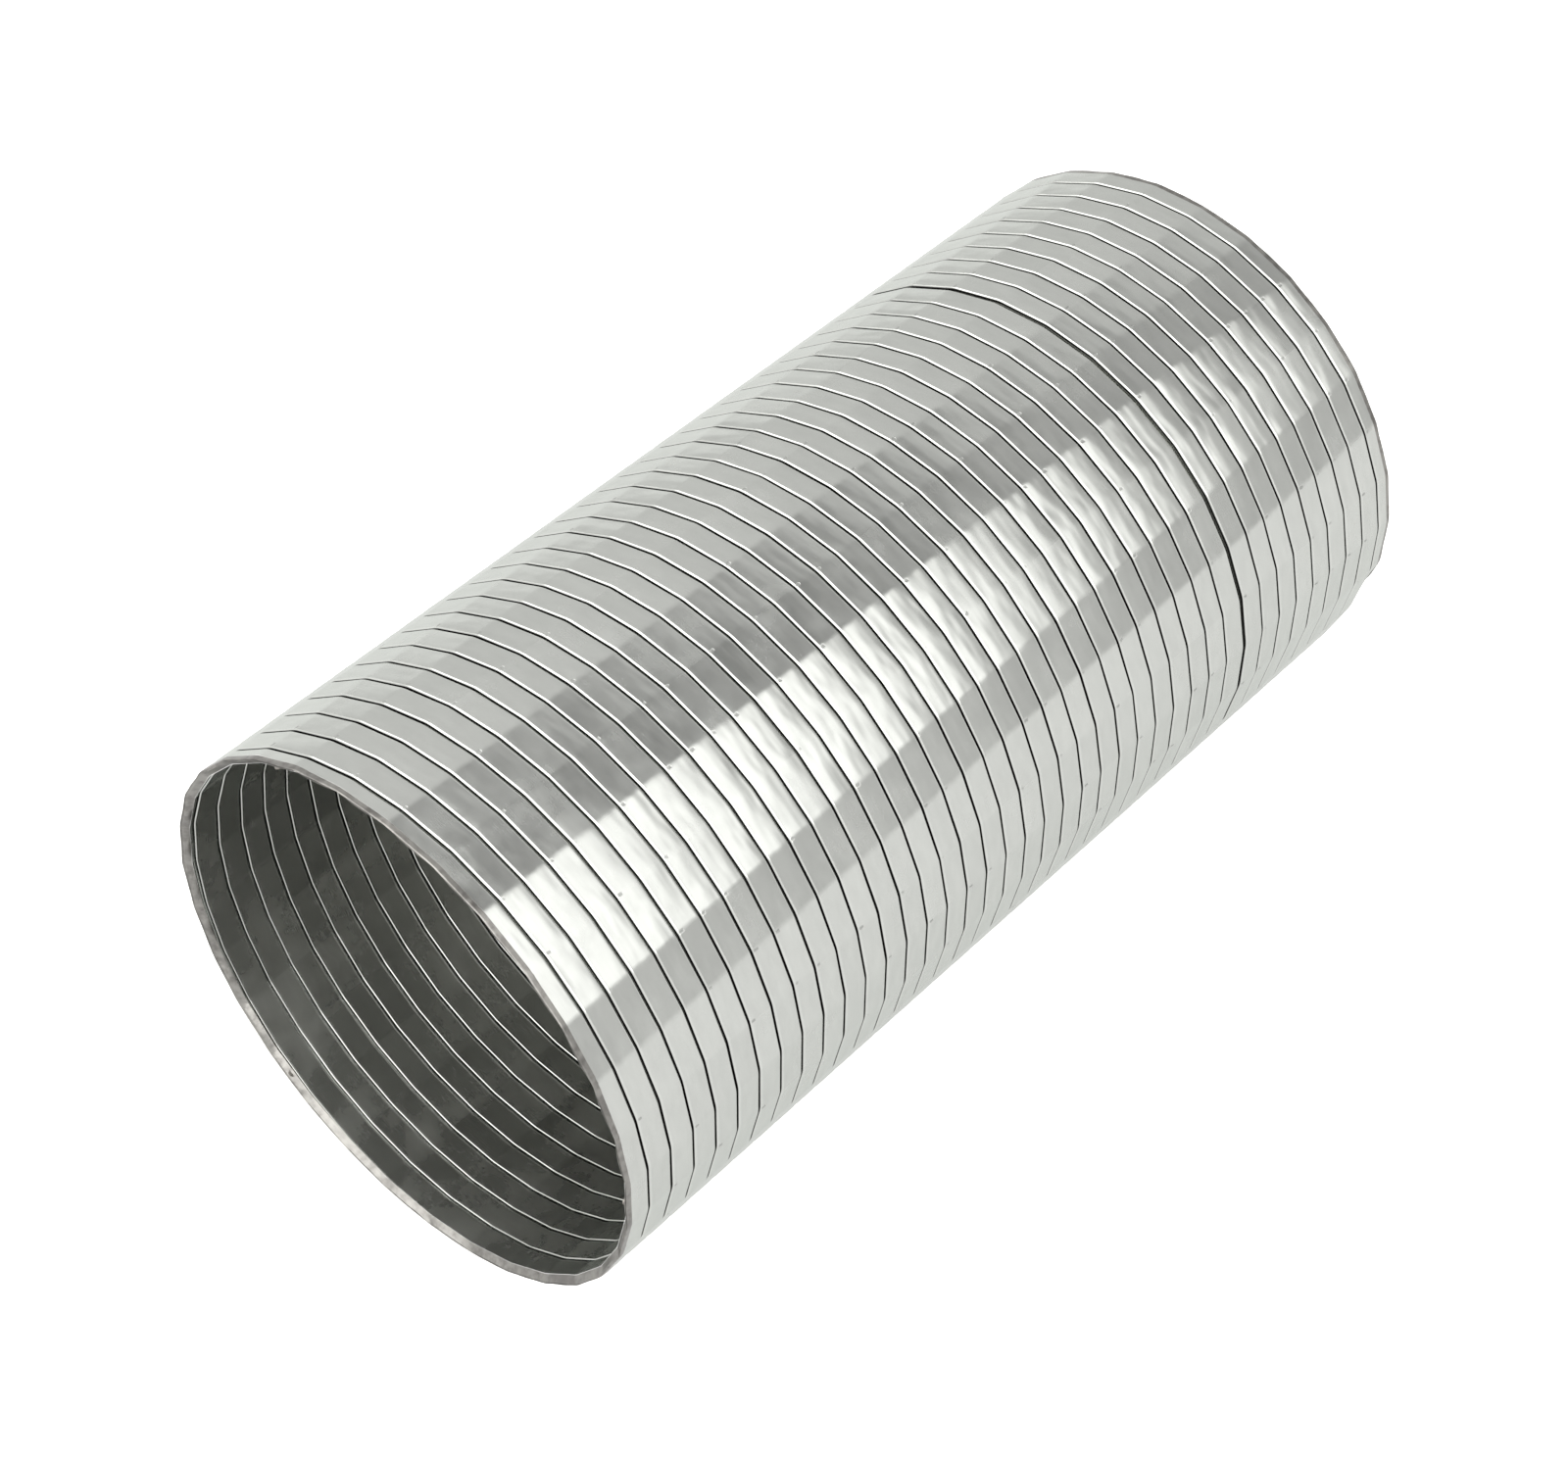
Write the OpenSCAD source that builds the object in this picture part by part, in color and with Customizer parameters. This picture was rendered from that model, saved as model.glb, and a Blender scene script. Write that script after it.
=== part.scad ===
// Stripwound interlocked metal hose, a straight cut length.
// One formed steel strip is wound into turns that hook into each other. Every turn has a land on the
// outside, a riser, and a wall on the inside that reaches under the next land, and a folded lip at each
// edge. The inner lip of one turn is caught behind the outer lip of the next, so that neighbours can
// slide apart and tilt but never unhook. The strip is bent at a regular step, so each turn is a
// many-sided polygon and the corners of all turns line up in rows.
// The hose lies on its side: X runs from the near end to the far end, and Z = 0 is the plane under it.

/* [Hose] */
// Bore across the flats of the polygon
bore_flats = 124.5; // [100:0.5:150]
// Flat sides in one turn
sides = 31; // [25:2:37]
// Turns along the hose, with the cut ones at its two ends
turns = 40; // [12:1:50]
// Distance from one turn to the next at rest
pitch = 6.35; // [5.4:0.05:8]
// Strip that the near cut takes off the first turn, counted from its hook
near_trim = 1.35; // [0.5:0.05:1.9]
// Distance from the hook of the last interlock to the far cut
far_trim = 0.1; // [0:0.05:0.5]

/* [Strip] */
// Thickness of the strip
strip_t = 0.35; // [0.29:0.01:0.42]
// Radial clearance between the layers of one interlock
layer_gap = 0.15; // [0.12:0.01:0.25]
// Axial gap between neighbouring lands at rest, which is also the play left when the hose is pushed shut
rest_gap = 0.4; // [0.3:0.05:0.6]
// Length of the folded lips, measured over the hook
lip_len = 1.6; // [1.2:0.1:2]

/* [Open interlock] */
// The turn behind which the interlock rests a little further open than the others
open_turn = 31; // [2:1:48]
// How much further it is open
open_gap = 0.6; // [0:0.1:1]

/* [Tack welds] */
// Weld spots at each end, which stop the cut strip from unwinding
tacks = 3; // [2:1:6]
// Clearance between a weld spot and the lips or the cut edge beside it
tack_gap = 0.2; // [0.1:0.05:0.4]
// Sides of the polygon from the lowest one to the first weld spot
tack_start = 3; // [0:1:10]

/* [Hidden] */
strip_colour = [0.74, 0.74, 0.71];
lap_colour = [0.55, 0.55, 0.53];
weld_colour = [0.42, 0.4, 0.38];

// The wall is four layers of strip: inner wall, outer lip, inner lip and land, from the inside out.
layer_step = strip_t + layer_gap;
wall_in = bore_flats / 2;
outer_lip_in = wall_in + layer_step;
inner_lip_in = wall_in + 2 * layer_step;
land_in = wall_in + 3 * layer_step;
land_out = land_in + strip_t;

// Places along one turn, counted from the face of its outer hook.
land_end = pitch - rest_gap;
inner_end = 2 * land_end - strip_t;

// Land that the two square cuts leave on the first and the last turn.
near_land = pitch - near_trim;
far_land = inner_end - pitch + far_trim;

hose_length = near_land + (turns - 2) * pitch + open_gap + far_land;
x_near = -hose_length / 2;
x_far = hose_length / 2;
axis_z = land_out;

// Face of a turn's outer hook. Turn 0 is what the cut leaves of the turn before the first whole one.
function hook_x(k) = x_near + near_land + (k - 2) * pitch + (k > open_turn ? open_gap : 0);
function turn_name(k) = str("strip_turn_", k < 10 ? "0" : "", k);

// Outline of a turn at one layer: a polygon with a flat side underneath.
module outline(apothem) {
    corner_r = apothem / cos(180 / sides);
    polygon([for (i = [0:sides - 1]) corner_r * [cos((i + 0.5) * 360 / sides), sin((i + 0.5) * 360 / sides)]]);
}

// One straight run of strip from x0 to x1, trimmed by the two square cuts of the hose.
module band(x0, x1, r_in, r_out) {
    a = max(x0, x_near);
    b = min(x1, x_far);
    if (b > a)
        translate([a, 0, axis_z])
            rotate([0, 90, 0])
                linear_extrude(b - a)
                    difference() {
                        outline(r_out);
                        outline(r_in);
                    }
}

// The outside of a turn: its land and, unless the cut took it, the hook and lip at the near edge.
module outer_half(k, hooked) {
    x = hook_x(k);
    band(x, x + land_end, land_in, land_out);
    if (hooked) {
        band(x, x + strip_t, outer_lip_in, land_out);
        band(x, x + lip_len, outer_lip_in, outer_lip_in + strip_t);
    }
}

// The inside of a turn: its wall under the next land, with the hook and lip at the far edge.
module inner_half(k) {
    x = hook_x(k);
    band(x + land_end - strip_t, x + inner_end, wall_in, wall_in + strip_t);
    band(x + inner_end - strip_t, x + inner_end, wall_in, inner_lip_in + strip_t);
    band(x + inner_end - lip_len, x + inner_end, inner_lip_in, inner_lip_in + strip_t);
}

// A turn of strip, counted from the near end. The last one is cut through its land.
module strip_turn(k) {
    x = hook_x(k);
    color(strip_colour)
        union() {
            outer_half(k, k > 1);
            if (k < turns) {
                band(x + land_end - strip_t, x + land_end, wall_in, land_out);
                inner_half(k);
            }
        }
}

// The sliver of inner wall that the near cut leaves caught in the first interlock.
module near_end_lap() {
    color(lap_colour) inner_half(0);
}

// A ring of weld spots between an inner wall and the land over it, in the free space from x0 to x1.
module weld_spots(x0, x1) {
    for (i = [0:tacks - 1])
        translate([(x0 + x1) / 2, 0, axis_z])
            rotate([(tack_start + floor(i * sides / tacks)) * 360 / sides, 0, 0])
                translate([0, 0, -land_in])
                    cylinder(h = land_in - wall_in - strip_t, d = x1 - x0 - 2 * tack_gap, $fn = 32);
}

// The near welds sit between the cut face and the lip of the sliver.
module near_end_tacks() {
    color(weld_colour) weld_spots(x_near, hook_x(0) + inner_end - lip_len);
}

// The far welds sit between the two lips of the last interlock.
module far_end_tacks() {
    color(weld_colour) weld_spots(hook_x(turns) + lip_len, hook_x(turns - 1) + inner_end - lip_len);
}

near_end_lap();
near_end_tacks();
far_end_tacks();
for (k = [1:turns])
    strip_turn(k);
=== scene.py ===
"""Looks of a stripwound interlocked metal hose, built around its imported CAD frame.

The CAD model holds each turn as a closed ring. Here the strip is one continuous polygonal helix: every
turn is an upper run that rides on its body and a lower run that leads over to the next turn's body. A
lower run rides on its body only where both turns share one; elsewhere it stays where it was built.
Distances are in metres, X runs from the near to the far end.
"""

import logging
import math
from collections.abc import Callable, Sequence
from dataclasses import dataclass, field
from enum import Enum

import bmesh
import bpy
import numpy as np
from mathutils import Matrix, Vector


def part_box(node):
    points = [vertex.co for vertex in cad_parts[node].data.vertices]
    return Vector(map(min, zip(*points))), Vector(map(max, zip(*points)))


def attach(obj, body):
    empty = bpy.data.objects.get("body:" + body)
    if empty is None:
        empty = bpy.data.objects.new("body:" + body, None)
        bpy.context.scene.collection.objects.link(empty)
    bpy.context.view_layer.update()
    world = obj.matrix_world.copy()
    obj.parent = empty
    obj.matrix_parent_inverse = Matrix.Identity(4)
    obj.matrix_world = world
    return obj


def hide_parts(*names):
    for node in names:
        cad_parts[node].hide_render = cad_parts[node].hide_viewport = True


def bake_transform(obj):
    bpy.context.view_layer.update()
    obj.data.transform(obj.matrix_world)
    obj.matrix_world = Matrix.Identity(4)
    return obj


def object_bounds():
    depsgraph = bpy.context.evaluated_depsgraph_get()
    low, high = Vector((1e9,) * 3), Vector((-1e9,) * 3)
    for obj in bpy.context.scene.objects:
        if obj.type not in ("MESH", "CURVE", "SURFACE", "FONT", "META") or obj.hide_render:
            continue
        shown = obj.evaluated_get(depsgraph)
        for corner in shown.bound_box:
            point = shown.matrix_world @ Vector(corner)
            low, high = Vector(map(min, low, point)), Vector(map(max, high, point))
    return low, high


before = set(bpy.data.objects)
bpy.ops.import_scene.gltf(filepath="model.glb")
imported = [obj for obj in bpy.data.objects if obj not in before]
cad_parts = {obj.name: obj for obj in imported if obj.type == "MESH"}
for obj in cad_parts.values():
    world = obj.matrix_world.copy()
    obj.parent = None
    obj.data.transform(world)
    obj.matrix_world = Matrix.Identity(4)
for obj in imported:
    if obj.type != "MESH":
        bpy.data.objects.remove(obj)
CAD_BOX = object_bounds()

LOG = logging.getLogger("hose")
MM = 0.001
SHARP_DEGREES = 38
WELD_DISTANCE = 0.0002 * MM
CUT_DISTANCE = 0.0001 * MM
CORNER_BASE = 100

Point = tuple[float, float]
Triple = tuple[float, float, float]
Socket = bpy.types.NodeSocket


# Sizes


@dataclass(frozen=True)
class StripForm:
    """Sizes of the formed strip, the same as the CAD model's.

    Radii are apothems: the distance from the hose axis to the middle of a flat side. The bends are
    rounded over bend_reach, a share of a side, and sit bend_drop deeper than a sharp corner. Corners
    stray by row_play, the same in every turn, and by corner_play, each by itself. Edges stray by
    edge_play along the hose. A turn starts start_share of a pitch before its hook's place in the CAD.
    """

    sides: int = 31
    upper_sides: int = 16
    turns: int = 40
    pitch: float = 6.35 * MM
    thickness: float = 0.35 * MM
    wall_radius: float = 62.25 * MM
    layer_step: float = 0.5 * MM
    rest_gap: float = 0.4 * MM
    lip: float = 1.6 * MM
    bend_reach: float = 0.075
    bend_drop: float = 0.05 * MM
    row_play: float = 0.055 * MM
    corner_play: float = 0.014 * MM
    edge_play: float = 0.035 * MM
    crown: float = 0.03 * MM
    start_share: float = 0.2912
    start_side: float = 23.5

    @property
    def land_end(self) -> float:
        """Where the land ends, counted from the hook's face."""
        return self.pitch - self.rest_gap

    @property
    def inner_end(self) -> float:
        """Where the inner hook ends, counted from the hook's face."""
        return 2 * self.land_end - self.thickness

    @property
    def land_radius(self) -> float:
        """Apothem of the land's outer face."""
        return self.wall_radius + 3 * self.layer_step + self.thickness

    @property
    def side_length(self) -> float:
        """Length of one flat side, on the land."""
        return 2 * self.land_radius * math.tan(math.pi / self.sides)

    @property
    def first_angle(self) -> float:
        """Angle of the corner at which turns start, from the -Y side towards +Z."""
        return -math.pi / 2 + self.start_side * 2 * math.pi / self.sides


@dataclass(frozen=True)
class Frame:
    """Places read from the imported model."""

    near: float
    far: float
    axis: float

    @classmethod
    def read(cls, form: StripForm) -> "Frame":
        """Takes the two cut faces and the height of the axis from the CAD box.

        Args:
            form: Sizes of the strip.

        Returns:
            The places.
        """
        low, high = CAD_BOX
        return cls(near=low.x, far=high.x, axis=low.z + form.land_radius)

    def hook(self, turn: int, form: StripForm) -> float:
        """Face of a turn's outer hook, also for the cut turns past both ends.

        Args:
            turn: Number of the turn, from the near end.
            form: Sizes of the strip.

        Returns:
            The place along X.
        """
        known = min(max(turn, 2), form.turns)
        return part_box(f"strip_turn_{known:02d}")[0].x + (turn - known) * form.pitch


class Part(Enum):
    """The two runs of a turn."""

    UPPER = "upper"
    LOWER = "lower"


# Node tools


class Nodes:
    """Adds nodes to a tree with few words."""

    def __init__(self, tree: bpy.types.NodeTree) -> None:
        """Starts on a tree.

        Args:
            tree: The tree that the nodes go into.
        """
        self.tree = tree

    def add(self, kind: str, inputs: dict | None = None, **settings: object) -> bpy.types.Node:
        """Adds a node, sets its properties, and links or sets its inputs.

        Args:
            kind: Type of the node.
            inputs: Socket name or number to a value or to another node's socket.
            settings: Properties of the node.

        Returns:
            The new node.
        """
        node = self.tree.nodes.new(kind)
        for name, value in settings.items():
            setattr(node, name, value)
        for key, value in (inputs or {}).items():
            self.put(node.inputs[key], value)
        return node

    def put(self, socket: Socket, value: object) -> None:
        """Links a socket to another, or sets its value."""
        if isinstance(value, bpy.types.NodeSocket):
            self.tree.links.new(value, socket)
        else:
            socket.default_value = value

    def math(self, operation: str, *values: object, clamp: bool = False) -> Socket:
        """Adds a Math node.

        Args:
            operation: What it does, as Blender calls it.
            values: Its inputs, in order.
            clamp: Whether the result is kept from 0 to 1.

        Returns:
            The result's socket.
        """
        node = self.add("ShaderNodeMath", dict(enumerate(values)), operation=operation, use_clamp=clamp)
        return node.outputs[0]

    def product(self, *values: object) -> Socket:
        """Multiplies two or more values."""
        made = values[0]
        for value in values[1:]:
            made = self.math("MULTIPLY", made, value)
        return made

    def swing(self, value: object, amount: object, base: object) -> Socket:
        """Adds amount times what the value has over a half to the base."""
        return self.math("MULTIPLY_ADD", self.math("SUBTRACT", value, 0.5), amount, base)

    def mix(self, share: object, low: object, high: object) -> Socket:
        """Adds a number between two others."""
        node = self.add("ShaderNodeMix", {0: share, 2: low, 3: high}, data_type="FLOAT")
        return node.outputs[0]

    def tint(self, share: object, low: object, high: object) -> Socket:
        """Adds a colour between two others."""
        node = self.add("ShaderNodeMix", {0: share, 6: low, 7: high}, data_type="RGBA")
        return node.outputs[2]

    def fade(self, value: object, start: float, end: float, low: float = 0.0, high: float = 1.0) -> Socket:
        """Adds a smooth step from low at start to high at end."""
        node = self.add(
            "ShaderNodeMapRange",
            {0: value, 1: start, 2: end, 3: low, 4: high},
            interpolation_type="SMOOTHSTEP",
        )
        return node.outputs[0]

    def noise(self, vector: object, scale: float, detail: float, rough: float = 0.5) -> Socket:
        """Adds a noise value."""
        node = self.add(
            "ShaderNodeTexNoise",
            {"Vector": vector, "Scale": scale, "Detail": detail, "Roughness": rough},
        )
        return node.outputs[0]

    def vector(self, x: object, y: object, z: object) -> Socket:
        """Adds a vector of three numbers."""
        return self.add("ShaderNodeCombineXYZ", {0: x, 1: y, 2: z}).outputs[0]


def new_group(name: str, kind: str, inputs: Sequence[tuple], outputs: Sequence[tuple]) -> tuple:
    """Makes a node group with named inputs and outputs.

    Args:
        name: Name of the group.
        kind: Type of the tree.
        inputs: Name, socket type and default value of each input.
        outputs: Name and socket type of each output.

    Returns:
        The tree's Nodes, its input node's sockets and its output node's sockets.
    """
    tree = bpy.data.node_groups.new(name, kind)
    for title, socket, default in inputs:
        made = tree.interface.new_socket(title, in_out="INPUT", socket_type=socket)
        if default is not None:
            made.default_value = default
    for title, socket in outputs:
        tree.interface.new_socket(title, in_out="OUTPUT", socket_type=socket)
    source = tree.nodes.new("NodeGroupInput")
    target = tree.nodes.new("NodeGroupOutput")
    return Nodes(tree), source.outputs, target.inputs


# Finishes


class SteelEffects:
    """Shader groups that the steel finishes share."""

    def __init__(self, form: StripForm) -> None:
        """Builds the groups.

        Args:
            form: Sizes of the strip.
        """
        self.form = form
        self.places = self._places()
        self.grain = self._grain()
        self.wear_and_groove_shade = self._wear_and_shade_group()
        self.handling = self._handling()

    def _places(self) -> bpy.types.NodeTree:
        """Makes the group that says where a point lies on the strip.

        Returns:
            The group's tree.
        """
        outputs = [
            ("Strip", "NodeSocketVector"),
            ("Across", "NodeSocketFloat"),
            ("Corner Distance", "NodeSocketFloat"),
            ("Side Chance", "NodeSocketFloat"),
            ("Corner Chance", "NodeSocketFloat"),
        ]
        nodes, _, out = new_group("strip places", "ShaderNodeTree", [], outputs)
        along = nodes.add("ShaderNodeAttribute", attribute_name="strip_along").outputs["Fac"]
        across = nodes.add("ShaderNodeAttribute", attribute_name="strip_across").outputs["Fac"]
        distance = nodes.math("MULTIPLY", along, self.form.side_length)
        nodes.put(out["Strip"], nodes.vector(distance, across, 0))
        nodes.put(out["Across"], across)
        near = nodes.math("ROUND", along)
        nodes.put(out["Corner Distance"], nodes.math("ABSOLUTE", nodes.math("SUBTRACT", along, near)))
        seeds = {"Side Chance": nodes.math("FLOOR", along), "Corner Chance": nodes.math("ADD", near, 0.37)}
        for title, seed in seeds.items():
            chance = nodes.add("ShaderNodeTexWhiteNoise", {"W": seed}, noise_dimensions="1D")
            nodes.put(out[title], chance.outputs[0])
        return nodes.tree

    def _grain(self) -> bpy.types.NodeTree:
        """Makes the group of the fine lines that rolling leaves along the strip.

        Returns:
            The group's tree.
        """
        inputs = [("Strip", "NodeSocketVector", None), ("Fineness", "NodeSocketFloat", 9000.0)]
        outputs = [("Lines", "NodeSocketFloat"), ("Cloud", "NodeSocketFloat")]
        nodes, source, out = new_group("rolled grain", "ShaderNodeTree", inputs, outputs)
        drawn = nodes.add("ShaderNodeMapping", {0: source["Strip"], 3: (0.03, 1, 1)}).outputs[0]
        nodes.put(out["Lines"], nodes.noise(drawn, source["Fineness"], 3, 0.65))
        slow = nodes.add("ShaderNodeMapping", {0: source["Strip"], 3: (0.35, 1, 1)}).outputs[0]
        nodes.put(out["Cloud"], nodes.noise(slow, 420.0, 3, 0.55))
        return nodes.tree

    def _wear_and_shade_group(self) -> bpy.types.NodeTree:
        """Makes the group of rubbed shoulders, the bending tool's nicks at corners, and painted shade on
        the groove walls and hook faces.

        Returns:
            The group's tree.
        """
        inputs = [
            ("Strip", "NodeSocketVector", None),
            ("Across", "NodeSocketFloat", 0.0),
            ("Corner Distance", "NodeSocketFloat", 0.5),
            ("Corner Chance", "NodeSocketFloat", 0.0),
        ]
        outputs = [(title, "NodeSocketFloat") for title in ("Rubbed", "Nick", "Groove Shade")]
        nodes, source, out = new_group("edge wear", "ShaderNodeTree", inputs, outputs)
        form = self.form
        rough = nodes.noise(source["Strip"], 1500.0, 2)
        shifted = nodes.math("MULTIPLY_ADD", rough, 0.5 * MM, source["Across"])
        nodes.put(out["Rubbed"], nodes.fade(shifted, 0.95 * MM, 0.55 * MM))
        # Painted shade: the riser's outer face, the outer hook's face and the inner hook's face sit deep
        # in the narrow interlock, and this mask darkens them where shade falls.
        tail = nodes.fade(source["Across"], form.land_end - 0.16 * MM, form.land_end - 0.04 * MM)
        past = nodes.fade(source["Across"], form.land_end + 0.1 * MM, form.land_end + 0.12 * MM, 1, 0)
        hook_foot = nodes.fade(source["Across"], 0.14 * MM, 0.06 * MM)
        inner_hook_shade = nodes.fade(source["Across"], form.inner_end - 0.34 * MM, form.inner_end - 0.2 * MM)
        grooves = nodes.math("MAXIMUM", nodes.math("MULTIPLY", tail, past), hook_foot)
        nodes.put(out["Groove Shade"], nodes.math("MAXIMUM", grooves, inner_hook_shade))
        ragged = nodes.math("MULTIPLY_ADD", rough, 0.05, source["Corner Distance"])
        at_corner = nodes.fade(ragged, 0.062, 0.03)
        starts = nodes.fade(source["Across"], 0.25 * MM, 0.5 * MM)
        reach = nodes.math("MULTIPLY_ADD", source["Corner Chance"], 1.6 * MM, 0.1 * MM)
        ends = nodes.fade(nodes.math("SUBTRACT", reach, source["Across"]), 0.0, 0.3 * MM)
        some = nodes.fade(source["Corner Chance"], 0.45, 0.9)
        nodes.put(out["Nick"], nodes.product(at_corner, starts, ends, some))
        return nodes.tree

    def _handling(self) -> bpy.types.NodeTree:
        """Makes the group of smudges and stray scratches, on Object coordinates.

        Returns:
            The group's tree.
        """
        inputs = [("Vector", "NodeSocketVector", None), ("Amount", "NodeSocketFloat", 0.5)]
        outputs = [("Smudge", "NodeSocketFloat"), ("Scratch", "NodeSocketFloat")]
        nodes, source, out = new_group("handling marks", "ShaderNodeTree", inputs, outputs)
        cloud = nodes.noise(source["Vector"], 55.0, 4, 0.6)
        nodes.put(out["Smudge"], nodes.fade(cloud, 0.42, 0.68))
        turned = nodes.add(
            "ShaderNodeMapping", {0: source["Vector"], 2: (0.4, 0.7, 0.9), 3: (1, 0.06, 1)}
        ).outputs[0]
        fine = nodes.noise(turned, 1400.0, 2, 0.4)
        line = nodes.fade(nodes.math("ABSOLUTE", nodes.math("SUBTRACT", fine, 0.5)), 0.012, 0.0)
        sparse = nodes.fade(nodes.noise(source["Vector"], 90.0, 2), 0.56, 0.66)
        nodes.put(out["Scratch"], nodes.product(line, sparse, source["Amount"]))
        return nodes.tree


@dataclass(frozen=True)
class SteelFinish:
    """A bright rolled steel surface.

    side_tone and side_gloss are how far colour and roughness differ from one flat side to the next,
    waves and crown are heights of the bump in millimetres, and scratches is their strength.
    """

    name: str
    colour: Triple
    # Colour of the painted shade on the groove walls and hook faces.
    groove_shade_colour: Triple
    roughness: float
    side_tone: float
    side_gloss: float
    scratches: float
    waves: float
    crown: float

    def material(self, effects: SteelEffects) -> bpy.types.Material:
        """Builds the material.

        Args:
            effects: The shared groups.

        Returns:
            The material.
        """
        made = bpy.data.materials.new(self.name)
        made.use_nodes = True
        nodes = Nodes(made.node_tree)
        shader = made.node_tree.nodes["Principled BSDF"]
        shader.inputs["Metallic"].default_value = 1.0
        shader.inputs["Specular Tint"].default_value = (0.93, 0.95, 0.93, 1)
        place = nodes.add("ShaderNodeGroup", node_tree=effects.places).outputs
        grain = nodes.add("ShaderNodeGroup", node_tree=effects.grain)
        nodes.put(grain.inputs["Strip"], place["Strip"])
        wear_and_groove_shade = nodes.add("ShaderNodeGroup", node_tree=effects.wear_and_groove_shade)
        for title in ("Strip", "Across", "Corner Distance", "Corner Chance"):
            nodes.put(wear_and_groove_shade.inputs[title], place[title])
        handled = nodes.add("ShaderNodeGroup", node_tree=effects.handling)
        spot = nodes.add("ShaderNodeTexCoord").outputs["Object"]
        nodes.put(handled.inputs["Vector"], spot)
        nodes.put(handled.inputs["Amount"], self.scratches)

        tone = nodes.swing(place["Side Chance"], self.side_tone, 1.0)
        tone = nodes.swing(grain.outputs["Cloud"], 0.16, tone)
        tone = nodes.swing(grain.outputs["Lines"], 0.08, tone)
        tone = nodes.math("MULTIPLY_ADD", wear_and_groove_shade.outputs["Rubbed"], 0.1, tone)
        tone = nodes.math("MULTIPLY_ADD", wear_and_groove_shade.outputs["Nick"], -0.35, tone)
        bright = nodes.add("ShaderNodeVectorMath", {0: self.colour, 3: tone}, operation="SCALE").outputs[0]
        # Painted shade: the groove walls and hook faces are mixed towards the near-black shade colour.
        dull = nodes.math("MULTIPLY", wear_and_groove_shade.outputs["Groove Shade"], 0.9)
        colour = nodes.tint(dull, bright, (*self.groove_shade_colour, 1))
        nodes.put(shader.inputs["Base Color"], colour)

        rough = nodes.math("MULTIPLY_ADD", handled.outputs["Smudge"], 0.09, self.roughness)
        rough = nodes.swing(place["Side Chance"], self.side_gloss, rough)
        rough = nodes.math("MULTIPLY_ADD", grain.outputs["Lines"], 0.06, rough)
        rough = nodes.math("MULTIPLY_ADD", handled.outputs["Scratch"], 0.15, rough)
        rough = nodes.math("MULTIPLY_ADD", wear_and_groove_shade.outputs["Nick"], 0.25, rough, clamp=True)
        nodes.put(shader.inputs["Roughness"], rough)

        wave = nodes.add("ShaderNodeMapping", {0: place["Strip"], 3: (0.4, 1, 1)}).outputs[0]
        height = nodes.math("MULTIPLY", nodes.noise(wave, 260.0, 1, 0.4), self.waves)
        half_land = effects.form.land_end / 2
        from_middle = nodes.math("DIVIDE", nodes.math("SUBTRACT", place["Across"], half_land), half_land)
        squared = nodes.math("POWER", nodes.math("ABSOLUTE", from_middle), 2.0)
        bulge = nodes.math("MULTIPLY", squared, -self.crown)
        height = nodes.math("ADD", height, bulge)
        height = nodes.math("MULTIPLY_ADD", grain.outputs["Lines"], 0.0009, height)
        height = nodes.math("MULTIPLY_ADD", wear_and_groove_shade.outputs["Nick"], -0.05, height)
        height = nodes.math("MULTIPLY_ADD", handled.outputs["Scratch"], -0.004, height)
        bump = nodes.add("ShaderNodeBump", {"Strength": 1.0, "Distance": MM, "Height": height})
        nodes.put(shader.inputs["Normal"], bump.outputs[0])
        return made


@dataclass(frozen=True)
class CutFinish:
    """The rough metal of a cut edge or a weld spot, where coarse is the scale of its specks."""

    name: str
    light: Triple
    dark: Triple
    roughness: float
    coarse: float

    def material(self) -> bpy.types.Material:
        """Builds the material.

        Returns:
            The material.
        """
        made = bpy.data.materials.new(self.name)
        made.use_nodes = True
        nodes = Nodes(made.node_tree)
        shader = made.node_tree.nodes["Principled BSDF"]
        shader.inputs["Metallic"].default_value = 1.0
        spot = nodes.add("ShaderNodeTexCoord").outputs["Object"]
        speck = nodes.noise(spot, self.coarse, 3, 0.6)
        patch = nodes.noise(spot, self.coarse / 9, 2, 0.5)
        mottle = nodes.math("ADD", nodes.math("MULTIPLY", speck, 0.6), nodes.math("MULTIPLY", patch, 0.4))
        share = nodes.fade(mottle, 0.36, 0.62)
        nodes.put(shader.inputs["Base Color"], nodes.tint(share, (*self.dark, 1), (*self.light, 1)))
        nodes.put(shader.inputs["Roughness"], nodes.math("MULTIPLY_ADD", speck, 0.25, self.roughness))
        bump = nodes.add("ShaderNodeBump", {"Strength": 0.5, "Distance": 0.2 * MM, "Height": speck})
        nodes.put(shader.inputs["Normal"], bump.outputs[0])
        return made


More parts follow.
